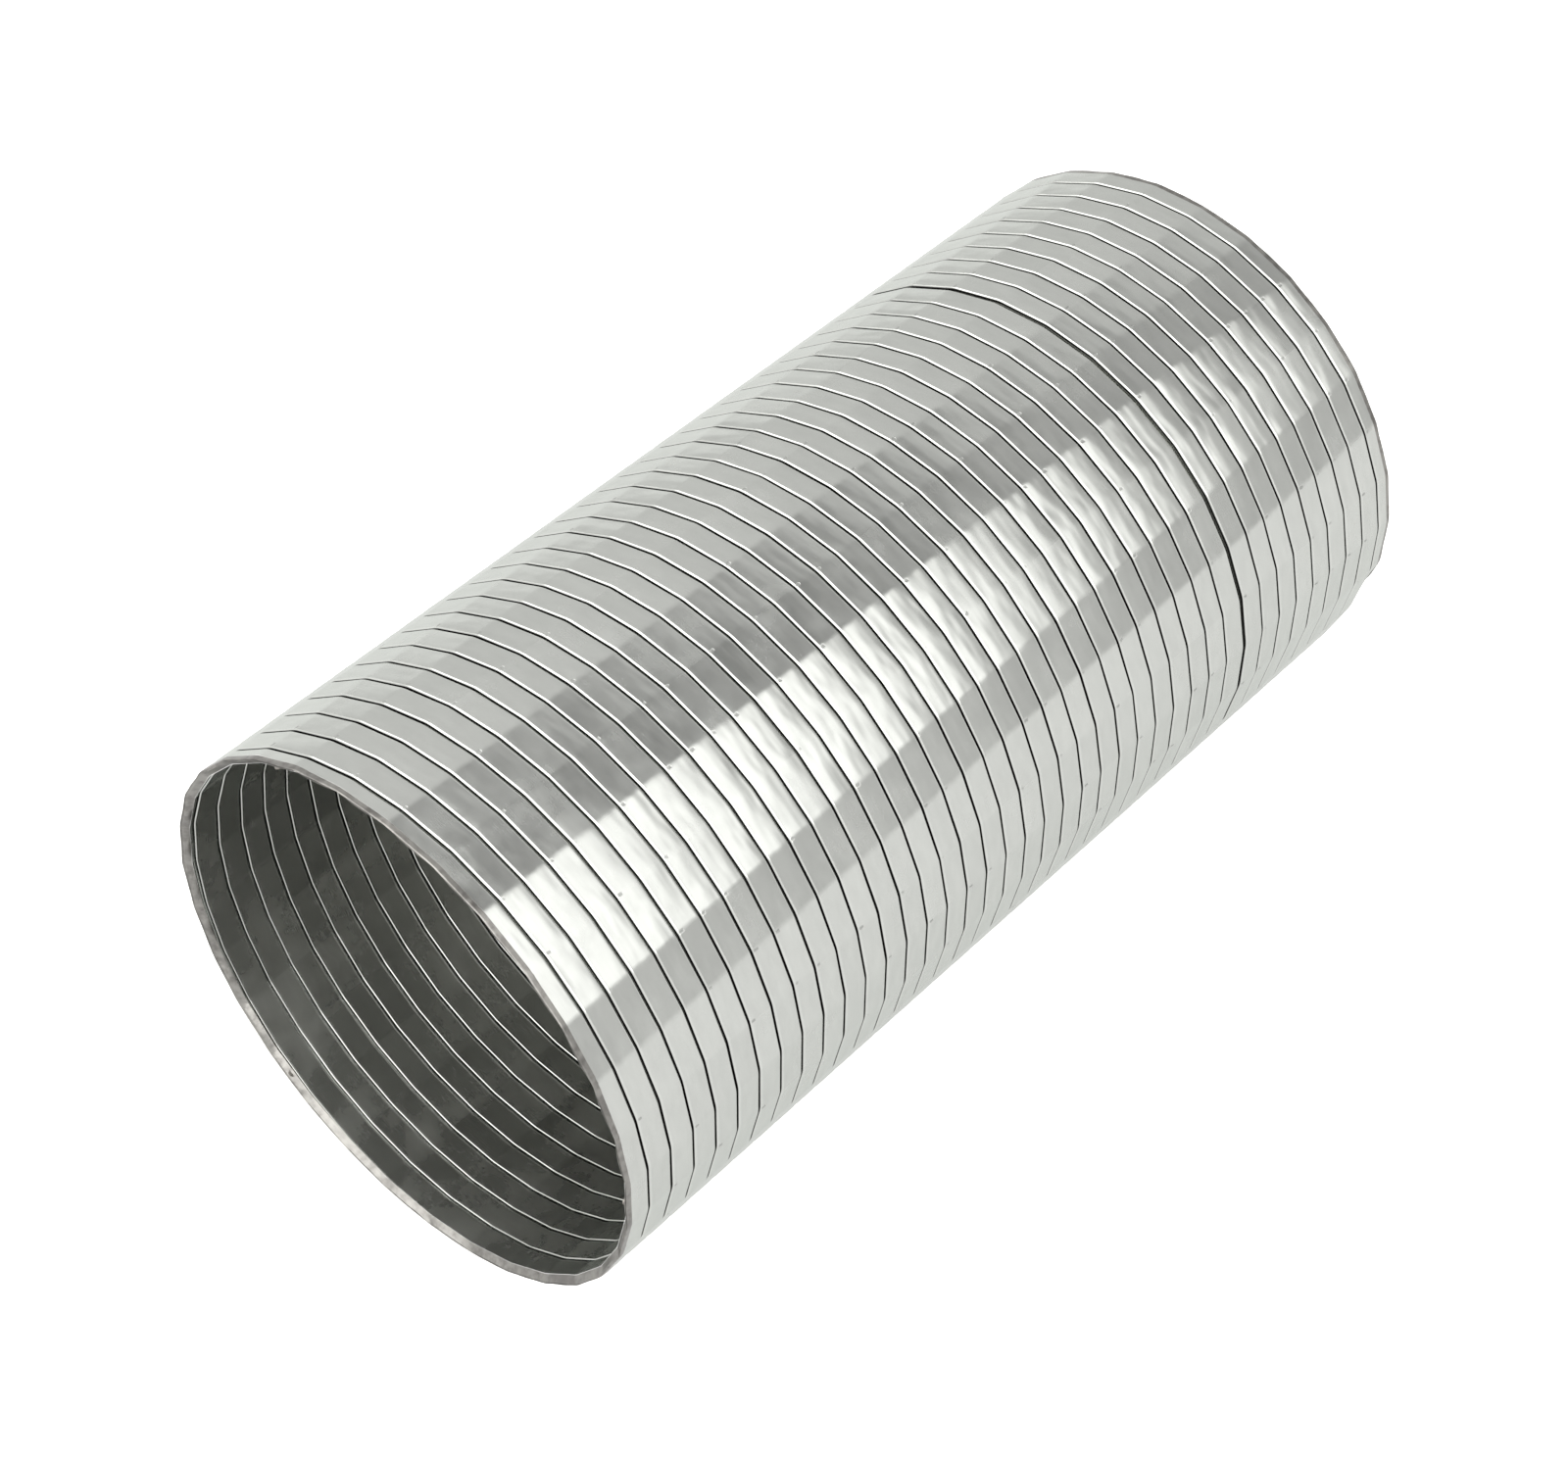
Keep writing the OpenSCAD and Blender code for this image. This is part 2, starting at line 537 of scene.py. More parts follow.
@dataclass
class Finishes:
    """All materials of the hose."""

    form: StripForm
    outside: bpy.types.Material = field(init=False)
    inside: bpy.types.Material = field(init=False)
    rim: bpy.types.Material = field(init=False)
    weld: bpy.types.Material = field(init=False)

    def __post_init__(self) -> None:
        """Builds the materials."""
        effects = SteelEffects(self.form)
        # Near-black of the painted shade on the groove walls and hook faces.
        groove_shade_tone = (0.07, 0.07, 0.065)
        self.outside = SteelFinish(
            name="bright strip steel",
            colour=(0.665, 0.675, 0.65),
            groove_shade_colour=groove_shade_tone,
            roughness=0.17,
            side_tone=0.05,
            side_gloss=0.05,
            scratches=0.4,
            waves=0.22,
            crown=0.07,
        ).material(effects)
        self.inside = SteelFinish(
            name="dull strip steel",
            colour=(0.56, 0.565, 0.54),
            groove_shade_colour=groove_shade_tone,
            roughness=0.22,
            side_tone=0.1,
            side_gloss=0.02,
            scratches=0.2,
            waves=0.05,
            crown=0.0,
        ).material(effects)
        self.rim = CutFinish(
            name="crimped edge steel",
            light=(0.36, 0.35, 0.33),
            dark=(0.22, 0.21, 0.2),
            roughness=0.2,
            coarse=500.0,
        ).material()
        self.weld = CutFinish(
            name="weld metal",
            light=(0.36, 0.34, 0.31),
            dark=(0.12, 0.11, 0.1),
            roughness=0.4,
            coarse=2500.0,
        ).material()


# Strip section


def filleted(corners: Sequence[Point], radii: Sequence[float], steps: int) -> list[Point]:
    """Rounds the corners of an open line.

    Args:
        corners: The line's corners, ends included.
        radii: Radius at each inner corner.
        steps: Points on each rounded corner, less one.

    Returns:
        The points of the rounded line.
    """
    line = [Vector(c) for c in corners]
    made = [line[0]]
    for before, here, after, radius in zip(line, line[1:], line[2:], radii):
        back, ahead = (before - here).normalized(), (after - here).normalized()
        half = back.angle(ahead) / 2
        centre = here + (back + ahead).normalized() * (radius / math.sin(half))
        start = here + back * (radius / math.tan(half)) - centre
        sweep = math.pi - 2 * half
        if back.x * ahead.y - back.y * ahead.x > 0:
            sweep = -sweep
        for i in range(steps + 1):
            turned = start.copy()
            turned.rotate(Matrix.Rotation(sweep * i / steps, 2))
            made.append(centre + turned)
    made.append(line[-1])
    return [(p.x, p.y) for p in made]


def thickened(line: Sequence[Point], thickness: float) -> list[Point]:
    """Gives an open line its thickness.

    Args:
        line: Points of the middle line.
        thickness: Distance between the two faces.

    Returns:
        The closed outline, one face forwards and the other back.
    """
    points = np.array(line)
    step = np.diff(points, axis=0)
    step /= np.linalg.norm(step, axis=1)[:, None]
    heading = np.vstack([step[:1], step[:-1] + step[1:], step[-1:]])
    heading /= np.linalg.norm(heading, axis=1)[:, None]
    side = np.column_stack([-heading[:, 1], heading[:, 0]]) * thickness / 2
    return [tuple(p) for p in np.vstack([points + side, (points - side)[::-1]])]


def split_runs(line: Sequence[Point], longest: float, flank: float) -> list[Point]:
    """Adds points to a line, so that no step is too long and the flats stay flat beside the bends.

    Args:
        line: The line's points.
        longest: Longest step that is left.
        flank: How far from a bend the flat gets its first point.

    Returns:
        The points of the finer line.
    """
    made = [line[0]]
    for a, b in zip(line, line[1:]):
        length = math.dist(a, b)
        count = max(1, math.ceil(length / longest))
        shares = [i / count for i in range(1, count)]
        if length > 4 * flank:
            shares = sorted({flank / length, *shares, 1 - flank / length})
        made += [(a[0] + (b[0] - a[0]) * share, a[1] + (b[1] - a[1]) * share) for share in (*shares, 1)]
    return made


@dataclass(frozen=True)
class Section:
    """Cross-sections of the strip and of the crimped rims, as X and apothem."""

    form: StripForm

    def turn(self, longest: float = 1.3 * MM) -> list[Point]:
        """Outline of a whole turn, counted from the face of its outer hook.

        Args:
            longest: Longest step between two points of the outline.

        Returns:
            The closed outline.
        """
        form, half = self.form, self.form.thickness / 2
        wall, lip = form.wall_radius + half, form.wall_radius + form.layer_step + half
        inner_lip, land = lip + form.layer_step, lip + 2 * form.layer_step
        riser, hook = form.land_end - half, form.inner_end - half
        corners = [
            (form.lip, lip),
            (half, lip),
            (half, land),
            (riser, land),
            (riser, wall),
            (hook, wall),
            (hook, inner_lip),
            (form.inner_end - form.lip, inner_lip),
        ]
        line = filleted(corners, [r * MM for r in (0.34, 0.35, 0.32, 0.32, 0.34, 0.34)], 4)
        middle, reach = (half + riser) / 2, (riser - half) / 2
        crowned = []
        for x, y in split_runs(line, longest, 0.2 * MM):
            on_land = y > land - CUT_DISTANCE and x < riser
            crowned.append((x, y - form.crown * ((x - middle) / reach) ** 2 if on_land else y))
        return thickened(crowned, form.thickness)

    def rim(self, depth: float, pinched: bool) -> list[Point]:
        """Outline of the crimped rim, with its face at X = 0 and the hose at positive X.

        The points are shares of the depth, and millimetres above the land's or the wall's face.

        Args:
            depth: How far the rim reaches back from its face.
            pinched: Whether this is the outline at a corner, where the wall is pressed together.

        Returns:
            The closed outline.
        """
        land, wall = self.form.land_radius, self.form.wall_radius
        outer = [(1.0, -0.03), (0.3, -0.03), (0.06, -0.06), (0.0, -0.12), (0.0, -0.3), (0.12, -0.36)]
        bitten = [*outer[:3], (0.02, -0.1), (0.02, -0.19), (0.14, -0.24)]
        full = [(0.12, 0.95), (0.0, 0.88), (0.0, 0.55), (0.06, 0.42), (0.35, 0.15), (1.0, 0.01)]
        thin = [(0.16, 1.56), (0.08, 1.54), (0.12, 1.5), (0.25, 1.2), (0.66, 0.4), (1.0, 0.02)]
        points = [(x * depth, land + r * MM) for x, r in (bitten if pinched else outer)]
        points += [(x * depth, wall + r * MM) for x, r in (thin if pinched else full)]
        return points + [(depth, (land + wall) / 2)]


# Winding


class Winder:
    """Sweeps a section round the polygon with Geometry Nodes."""

    def __init__(self, form: StripForm, places: Frame) -> None:
        """Builds the tree and the helper objects.

        Args:
            form: Sizes of the strip.
            places: Places of the hose.
        """
        self.form, self.places = form, places
        self.helpers: list[bpy.types.Object] = []
        reach = form.bend_reach
        near_bends = (0, reach / 2, reach, 1 - reach, 1 - reach / 2)
        self.bent_stations = self.helper("stations bent", [(share, 0) for share in near_bends])
        self.even_stations = self.helper("stations even", [(i / 10, 0) for i in range(10)])
        self.tree = self._tree()

    def helper(self, name: str, points: Sequence[Point]) -> bpy.types.Object:
        """Makes an object that only lends its points to the tree.

        Args:
            name: Name of the helper.
            points: Its points, as X and Y.

        Returns:
            The object.
        """
        mesh = bpy.data.meshes.new(name)
        mesh.from_pydata([(x, y, 0) for x, y in points], [], [])
        made = bpy.data.objects.new(name, mesh)
        bpy.context.scene.collection.objects.link(made)
        self.helpers.append(made)
        return made

    def clear(self) -> None:
        """Removes the helper objects."""
        for helper in self.helpers:
            bpy.data.objects.remove(helper)

    def _tree(self) -> bpy.types.NodeTree:
        """Builds the tree: a grid of stations and outline points, laid on the polygonal helix.

        Returns:
            The tree.
        """
        form = self.form
        inputs = [
            ("Section", "NodeSocketObject", None),
            ("Corner Section", "NodeSocketObject", None),
            ("Stations", "NodeSocketObject", None),
            ("Side Count", "NodeSocketInt", 16),
            ("First Corner", "NodeSocketInt", 0),
            ("Start Angle", "NodeSocketFloat", 0.0),
            ("Start X", "NodeSocketFloat", 0.0),
            ("End X", "NodeSocketFloat", 0.0),
            ("Axis Height", "NodeSocketFloat", self.places.axis),
            ("Sides In Turn", "NodeSocketInt", form.sides),
            ("Bend Reach", "NodeSocketFloat", form.bend_reach),
            ("Bend Drop", "NodeSocketFloat", form.bend_drop),
            ("Row Play", "NodeSocketFloat", form.row_play),
            ("Corner Play", "NodeSocketFloat", form.corner_play),
            ("Edge Play", "NodeSocketFloat", form.edge_play),
            ("Play Repeat", "NodeSocketInt", 100_000),
            ("Seed", "NodeSocketInt", 7),
            ("Inside From", "NodeSocketFloat", form.land_end - form.thickness / 2),
            ("Outside Finish", "NodeSocketMaterial", None),
            ("Inside Finish", "NodeSocketMaterial", None),
        ]
        outputs = [("Geometry", "NodeSocketGeometry")]
        nodes, source, out = new_group("strip winding", "GeometryNodeTree", inputs, outputs)
        position = nodes.add("GeometryNodeInputPosition").outputs[0]

        def lent(title: str) -> tuple[Socket, Socket]:
            """Reads the helper that an input names.

            Args:
                title: Name of the input.

            Returns:
                The helper's geometry and how many points it has.
            """
            geometry = nodes.add("GeometryNodeObjectInfo", {"Object": source[title]}).outputs["Geometry"]
            size = nodes.add("GeometryNodeAttributeDomainSize", {0: geometry}).outputs["Point Count"]
            return geometry, size

        def sampled(geometry: Socket, index: Socket) -> tuple[Socket, Socket]:
            """Reads a helper's point.

            Args:
                geometry: The helper's geometry.
                index: Number of the point.

            Returns:
                X and Y of the point.
            """
            sample = nodes.add(
                "GeometryNodeSampleIndex",
                {"Geometry": geometry, "Value": position, "Index": index},
                data_type="FLOAT_VECTOR",
            )
            parts = nodes.add("ShaderNodeSeparateXYZ", {0: sample.outputs[0]}).outputs
            return parts[0], parts[1]

        section, outline_points = lent("Section")
        pinched, _ = lent("Corner Section")
        stations, per_side = lent("Stations")
        rows = nodes.math("MULTIPLY_ADD", source["Side Count"], per_side, 1)
        columns = nodes.math("ADD", outline_points, 1)
        grid = nodes.add(
            "GeometryNodeMeshGrid",
            {"Size X": 1.0, "Size Y": 1.0, "Vertices X": rows, "Vertices Y": columns},
        )
        index = nodes.add("GeometryNodeInputIndex").outputs[0]
        row = nodes.math("FLOOR", nodes.math("DIVIDE", nodes.math("ADD", index, 0.5), columns))
        column = nodes.math("SUBTRACT", index, nodes.math("MULTIPLY", row, columns))
        side = nodes.math("FLOOR", nodes.math("DIVIDE", nodes.math("ADD", row, 0.5), per_side))
        station = nodes.math("SUBTRACT", row, nodes.math("MULTIPLY", side, per_side))
        share, _ = sampled(stations, station)
        place = nodes.math("MODULO", column, outline_points)
        across, radius = sampled(section, place)
        corner_across, corner_radius = sampled(pinched, place)
        middle = nodes.product(share, nodes.math("SUBTRACT", 1.0, share), 4.0)
        across, radius = nodes.mix(middle, corner_across, across), nodes.mix(middle, corner_radius, radius)

        def play(shift: int, amount: Socket, seed: int, repeat: Socket = source["Play Repeat"]) -> Socket:
            """Picks a chance offset for the side's first or second corner.

            Args:
                shift: 0 for the first corner and 1 for the second.
                amount: How far the offset may go either way.
                seed: Sets this offset apart from the others.
                repeat: Number of corners after which the offsets come again.

            Returns:
                The offset.
            """
            corner = nodes.math("ADD", nodes.math("ADD", side, source["First Corner"]), shift)
            chance = nodes.add("FunctionNodeRandomValue", data_type="FLOAT")
            nodes.put(chance.inputs["ID"], nodes.math("MODULO", corner, repeat))
            nodes.put(chance.inputs["Seed"], nodes.math("ADD", source["Seed"], seed))
            return nodes.swing(chance.outputs[1], nodes.math("MULTIPLY", amount, 2.0), 0.0)

        turn = nodes.math("DIVIDE", 2 * math.pi, source["Sides In Turn"])
        to_corner = nodes.math("COSINE", nodes.math("MULTIPLY", turn, 0.5))

        def corner_place(shift: int) -> tuple[Socket, Socket]:
            """Places the section at the side's first or second corner.

            Args:
                shift: 0 for the first corner and 1 for the second.

            Returns:
                Y, and height over the axis.
            """
            turned = nodes.math("MULTIPLY", turn, nodes.math("ADD", side, shift))
            angle = nodes.math("SUBTRACT", source["Start Angle"], turned)
            row_play = play(shift, source["Row Play"], 11, source["Sides In Turn"])
            all_play = nodes.math("ADD", row_play, play(shift, source["Corner Play"], 0))
            reach = nodes.math("DIVIDE", nodes.math("ADD", radius, all_play), to_corner)
            y = nodes.product(reach, nodes.math("COSINE", angle), -1.0)
            return y, nodes.math("MULTIPLY", reach, nodes.math("SINE", angle))

        (y0, z0), (y1, z1) = corner_place(0), corner_place(1)
        y, z = nodes.mix(share, y0, y1), nodes.mix(share, z0, z1)
        from_corner = nodes.math("MINIMUM", share, nodes.math("SUBTRACT", 1.0, share))
        flatness = nodes.math("DIVIDE", from_corner, source["Bend Reach"])
        inside_bend = nodes.math("MAXIMUM", nodes.math("SUBTRACT", 1.0, flatness), 0.0)
        drop = nodes.math("MULTIPLY", nodes.math("POWER", inside_bend, 2.0), source["Bend Drop"])
        squares = nodes.math("ADD", nodes.math("MULTIPLY", y, y), nodes.math("MULTIPLY", z, z))
        length = nodes.math("SQRT", squares)
        shrink = nodes.math("SUBTRACT", 1.0, nodes.math("DIVIDE", drop, length))
        wound = nodes.math("ADD", side, share)
        part = nodes.math("DIVIDE", wound, source["Side Count"])
        x = nodes.math("ADD", nodes.mix(part, source["Start X"], source["End X"]), across)
        edge_play = nodes.mix(share, play(0, source["Edge Play"], 5), play(1, source["Edge Play"], 5))
        height = nodes.math("MULTIPLY_ADD", z, shrink, source["Axis Height"])
        spot = nodes.vector(nodes.math("ADD", x, edge_play), nodes.math("MULTIPLY", y, shrink), height)
        laid = nodes.add("GeometryNodeSetPosition", {"Geometry": grid.outputs[0], "Position": spot})
        geometry = laid.outputs[0]
        along = nodes.math("ADD", wound, source["First Corner"])
        for title, value in (("strip_along", along), ("strip_across", across)):
            geometry = nodes.add(
                "GeometryNodeStoreNamedAttribute",
                {"Geometry": geometry, "Name": title, "Value": value},
                data_type="FLOAT",
                domain="POINT",
            ).outputs[0]
        stored = nodes.add("GeometryNodeInputNamedAttribute", {"Name": "strip_across"}, data_type="FLOAT")
        limits = {0: stored.outputs[0], 1: source["Inside From"]}
        inner = nodes.add("FunctionNodeCompare", limits, operation="GREATER_THAN")
        for kind, settings in (
            ("MergeByDistance", {"Distance": WELD_DISTANCE}),
            ("SetShadeSmooth", {}),
            ("RealizeInstances", {}),
            ("SetMaterial", {"Material": source["Outside Finish"]}),
            ("SetMaterial", {"Material": source["Inside Finish"], "Selection": inner.outputs[0]}),
        ):
            geometry = nodes.add("GeometryNode" + kind, {"Geometry": geometry, **settings}).outputs[0]
        nodes.put(out[0], geometry)
        return nodes.tree

    def wind(self, name: str, values: dict[str, object]) -> bpy.types.Object:
        """Makes one run of strip.

        Args:
            name: Name of the piece.
            values: The tree's inputs by name.

        Returns:
            The piece, with a plain mesh.
        """
        carrier = bpy.data.objects.new(name + " carrier", bpy.data.meshes.new(name + " carrier"))
        bpy.context.scene.collection.objects.link(carrier)
        modifier = carrier.modifiers.new("winding", "NODES")
        modifier.node_group = self.tree
        for item in self.tree.interface.items_tree:
            if item.item_type == "SOCKET" and item.in_out == "INPUT" and item.name in values:
                modifier[item.identifier] = values[item.name]
        depsgraph = bpy.context.evaluated_depsgraph_get()
        mesh = bpy.data.meshes.new_from_object(
            carrier.evaluated_get(depsgraph), preserve_all_data_layers=True, depsgraph=depsgraph
        )
        bpy.data.objects.remove(carrier)
        mesh.name = name
        made = bpy.data.objects.new(name, mesh)
        bpy.context.scene.collection.objects.link(made)
        return made


# Mesh tools


def close_and_trim(piece: bpy.types.Object, low: float | None, high: float | None) -> None:
    """Caps the open ends of a run, cuts it square at the given places and turns its faces outwards.

    Args:
        piece: The run of strip.
        low: Where it is cut off on the near side, if it is.
        high: Where it is cut off on the far side, if it is.
    """
    mesh = bmesh.new()
    mesh.from_mesh(piece.data)
    rims = [e for e in mesh.edges if e.is_boundary]
    if rims:
        bmesh.ops.holes_fill(mesh, edges=rims, sides=0)
    for place, normal in ((low, (-1, 0, 0)), (high, (1, 0, 0))):
        if place is None:
            continue
        everything = [*mesh.verts, *mesh.edges, *mesh.faces]
        bmesh.ops.bisect_plane(
            mesh,
            geom=everything,
            plane_co=(place, 0, 0),
            plane_no=normal,
            clear_outer=True,
            dist=CUT_DISTANCE,
        )
        cut = [e for e in mesh.edges if e.is_boundary]
        if cut:
            bmesh.ops.triangle_fill(mesh, edges=cut, use_beauty=True, use_dissolve=False, normal=normal)
    bmesh.ops.recalc_face_normals(mesh, faces=mesh.faces)
    if mesh.calc_volume(signed=True) < 0:
        bmesh.ops.reverse_faces(mesh, faces=mesh.faces)
    mesh.to_mesh(piece.data)
    mesh.free()
    piece.data.set_sharp_from_angle(angle=math.radians(SHARP_DEGREES))


def moved_points(piece: bpy.types.Object, rule: Callable[[np.ndarray], np.ndarray]) -> None:
    """Moves all points of a piece by a rule.

    Args:
        piece: The piece.
        rule: Takes the points and returns where they go.
    """
    points = np.empty(len(piece.data.vertices) * 3, np.float32)
    piece.data.vertices.foreach_get("co", points)
    placed = rule(points.reshape(-1, 3).astype(float)).astype(np.float32)
    piece.data.vertices.foreach_set("co", placed.ravel())
    piece.data.update()


def smooth(value: np.ndarray, start: float, end: float) -> np.ndarray:
    """Smooth step from 0 at start to 1 at end, which may be the smaller one."""
    share = np.clip((value - start) / (end - start), 0, 1)
    return share * share * (3 - 2 * share)


# Sub-assemblies


@dataclass
class CutEnds:
    """What the two square cuts and their handling do to the end of the strip."""

    form: StripForm
    places: Frame
    rim_depth: float = 1.3 * MM
    overlap: float = 0.06 * MM
    mouth_gap: float = 0.35 * MM
    rim_thinning: float = 0.95 * MM
    dent_depth: float = 1.9 * MM
    dent_reach: float = 8.0 * MM

    def polar(self, points: np.ndarray) -> tuple[np.ndarray, np.ndarray]:
        """Angle from the -Y side towards +Z in degrees, and radius, of each point."""
        y, z = points[:, 1], points[:, 2] - self.places.axis
        return np.degrees(np.arctan2(z, -y)), np.hypot(y, z)

    def dent(self, points: np.ndarray) -> np.ndarray:
        """Knocks the far rim in where it hit the ground, low on the -Y side.

        Args:
            points: Points of a piece near the far end.

        Returns:
            The moved points.
        """
        angle, radius = self.polar(points)
        back = self.places.far - points[:, 0]
        near_face = 1 - smooth(back, 0.2 * MM, self.dent_reach)
        wide = np.exp(-(((angle + 24) / 15) ** 2))
        kink = 0.35 * np.exp(-(((angle + 13) / 4) ** 2)) + 0.3 * np.exp(-(((angle + 33) / 5) ** 2))
        push = self.dent_depth * near_face**2 * (wide + kink)
        made = points.copy()
        made[:, 1] -= push * points[:, 1] / radius
        made[:, 2] -= push * (points[:, 2] - self.places.axis) / radius
        made[:, 0] -= 0.6 * MM * near_face**2 * (wide + kink)
        return made

    def open_mouth(self, turn: int, part: Part) -> Callable[[np.ndarray], np.ndarray]:
        """Pulls the first hook back on the inside, low at the mouth, so that its interlock stands open.

        Args:
            turn: Number of the turn that the points belong to.
            part: Run of the turn that they belong to.

        Returns:
            The rule that moves the points.
        """
        start = self.places.hook(turn, self.form) - self.form.start_share * self.form.pitch

        def rule(points: np.ndarray) -> np.ndarray:
            """Moves the hook and the wall that leads to it.

            Args:
                points: The run's points.

            Returns:
                The moved points.
            """
            angle, radius = self.polar(points)
            wound = 180 - angle
            if part is Part.UPPER:
                wound = np.where(wound > 270, wound - 360, wound)
                bump = 1 - smooth(wound, 0, 50)
            else:
                bump = smooth(wound, 200, 275)
            across = points[:, 0] - start - self.form.pitch * wound / 360
            low = 1 - smooth(radius, self.form.wall_radius + 0.6 * MM, self.form.wall_radius + 1.7 * MM)
            amount = -self.mouth_gap * smooth(across, 6 * MM, 11 * MM)
            made = points.copy()
            made[:, 0] += amount * bump * low
            return made

        return rule


@dataclass
class StripTurn:
    """One turn of the strip, as its upper and lower run."""

    number: int
    form: StripForm
    places: Frame
    ends: CutEnds

    @property
    def body(self) -> str:
        """CAD body that this turn belongs to."""
        return body_of_turn(self.number, self.form)

    @property
    def node(self) -> str:
        """CAD node that this turn stands for."""
        if self.number < 1:
            return "near_end_lap"
        return f"strip_turn_{min(self.number, self.form.turns):02d}"

    def start(self, turn: int) -> float:
        """Where a turn's hook stands at the corner at which turns start."""
        return self.places.hook(turn, self.form) - self.form.start_share * self.form.pitch

    def build(
        self, part: Part, winder: Winder, outline: bpy.types.Object, finishes: Finishes
    ) -> bpy.types.Object:
        """Makes one run of the turn and cuts it at the hose's ends.

        Args:
            part: Upper or lower run.
            winder: Makes the mesh.
            outline: Helper that holds the strip's section.
            finishes: The materials.

        Returns:
            The piece.
        """
        form = self.form
        upper_share = form.upper_sides / form.sides
        turn_start, next_start = self.start(self.number), self.start(self.number + 1)
        split = turn_start + form.pitch * upper_share
        step = 2 * math.pi / form.sides
        values: dict[str, object] = {
            "Section": outline,
            "Corner Section": outline,
            "Stations": winder.bent_stations,
            "Outside Finish": finishes.outside,
            "Inside Finish": finishes.inside,
        }
        if part is Part.UPPER:
            values |= {
                "Side Count": form.upper_sides,
                "First Corner": self.number * form.sides + CORNER_BASE,
                "Start Angle": form.first_angle,
                "Start X": turn_start,
                "End X": split,
            }
        else:
            values |= {
                "Side Count": form.sides - form.upper_sides,
                "First Corner": self.number * form.sides + form.upper_sides + CORNER_BASE,
                "Start Angle": form.first_angle - step * form.upper_sides,
                "Start X": split,
                "End X": next_start,
            }
        name = "strip_tail" if self.number < 0 else f"strip_{self.number:02d}"
        piece = winder.wind(f"{name}_{part.value}", values)
        low = self.places.near + self.ends.rim_depth - self.ends.overlap
        high = self.places.far - self.ends.rim_depth + self.ends.overlap
        if self.number + (part is Part.LOWER) == 0:
            moved_points(piece, self.ends.open_mouth(self.number, part))
        close_and_trim(
            piece,
            low if self.number <= 2 else None,
            high if self.number >= form.turns - 2 else None,
        )
        if self.number >= form.turns - 2:
            moved_points(piece, self.ends.dent)
        return piece

    def fit(self, piece: bpy.types.Object, part: Part) -> None:
        """Makes a run move with its body; a lower run that leads to another body is only baked in place.

        Args:
            piece: The run.
            part: Upper or lower run.
        """
        after = body_of_turn(self.number + 1, self.form)
        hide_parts(self.node)
        if part is Part.UPPER or after == self.body:
            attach(piece, self.body)
            return
        x, z = self.places.hook(self.number, self.form), self.places.axis
        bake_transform(piece)


def body_of_turn(turn: int, form: StripForm) -> str:
    """Name of the CAD body that holds a turn.

    Args:
        turn: Number of the turn.
        form: Sizes of the strip.

    Returns:
        The body's name.
    """
    if turn < 2:
        return "near_end"
    return "far_end" if turn > form.turns - 2 else f"turn_{turn:02d}"


@dataclass
class CrimpedRim:
    """The edge that the cut and the crimping leave at one end: full between corners, pinched at them."""

    name: str
    form: StripForm
    places: Frame
    ends: CutEnds
    far_side: bool

    def build(self, winder: Winder, section: Section, finishes: Finishes) -> bpy.types.Object:
        """Makes the rim.

        Args:
            winder: Makes the mesh.
            section: Lends the outlines.
            finishes: The materials.

        Returns:
            The piece.
        """
        depth = self.ends.rim_depth
        sign = -1 if self.far_side else 1
        outlines = [
            winder.helper(f"{self.name} {title}", [(x * sign, r) for x, r in section.rim(depth, pinched)])
            for title, pinched in (("full", False), ("pinched", True))
        ]
        face = self.places.far if self.far_side else self.places.near
        piece = winder.wind(
            self.name,
            {
                "Section": outlines[0],
                "Corner Section": outlines[1],
                "Stations": winder.even_stations,
                "Side Count": self.form.sides,
                "First Corner": self.form.sides,
                "Play Repeat": self.form.sides,
                "Start Angle": self.form.first_angle,
                "Start X": face,
                "End X": face,
                "Edge Play": 0.0,
                "Corner Play": 0.02 * MM,
                "Row Play": 0.0,
                "Inside From": 1.0,
                "Outside Finish": finishes.rim,
                "Inside Finish": finishes.rim,
            },
        )
        close_and_trim(piece, None, None)
        moved_points(piece, self.roughen)
        if self.far_side:
            moved_points(piece, self.ends.dent)
        return piece

    def roughen(self, points: np.ndarray) -> np.ndarray:
        """Makes the rim a little uneven, as pliers leave it.

        Args:
            points: The rim's points.

        Returns:
            The moved points.
        """
        angle, radius = self.ends.polar(points)
        face = self.places.far if self.far_side else self.places.near
        depth = np.abs(points[:, 0] - face)
        close = 1 - smooth(depth, 0.1 * MM, self.ends.rim_depth)
        waves = ((1.0, 13, 40), (0.7, 29, 0), (0.5, 53, 0))
        uneven = sum(size * np.sin(np.radians(angle * count + shift)) for size, count, shift in waves)
        land, wall = self.form.land_radius, self.form.wall_radius
        inwards = np.clip((land - radius) / (land - wall), 0, 1)
        thick_side = np.clip(smooth(angle, -105, -150) + smooth(angle, 150, 175), 0, 1)
        push = close * (0.06 * MM * uneven - self.ends.rim_thinning * inwards * (1 - thick_side))
        made = points.copy()
        made[:, 1] -= push * points[:, 1] / radius
        made[:, 2] -= push * (points[:, 2] - self.places.axis) / radius
        return made

    def fit(self, piece: bpy.types.Object) -> None:
        """Makes the rim move with its end of the hose."""
        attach(piece, "far_end" if self.far_side else "near_end")


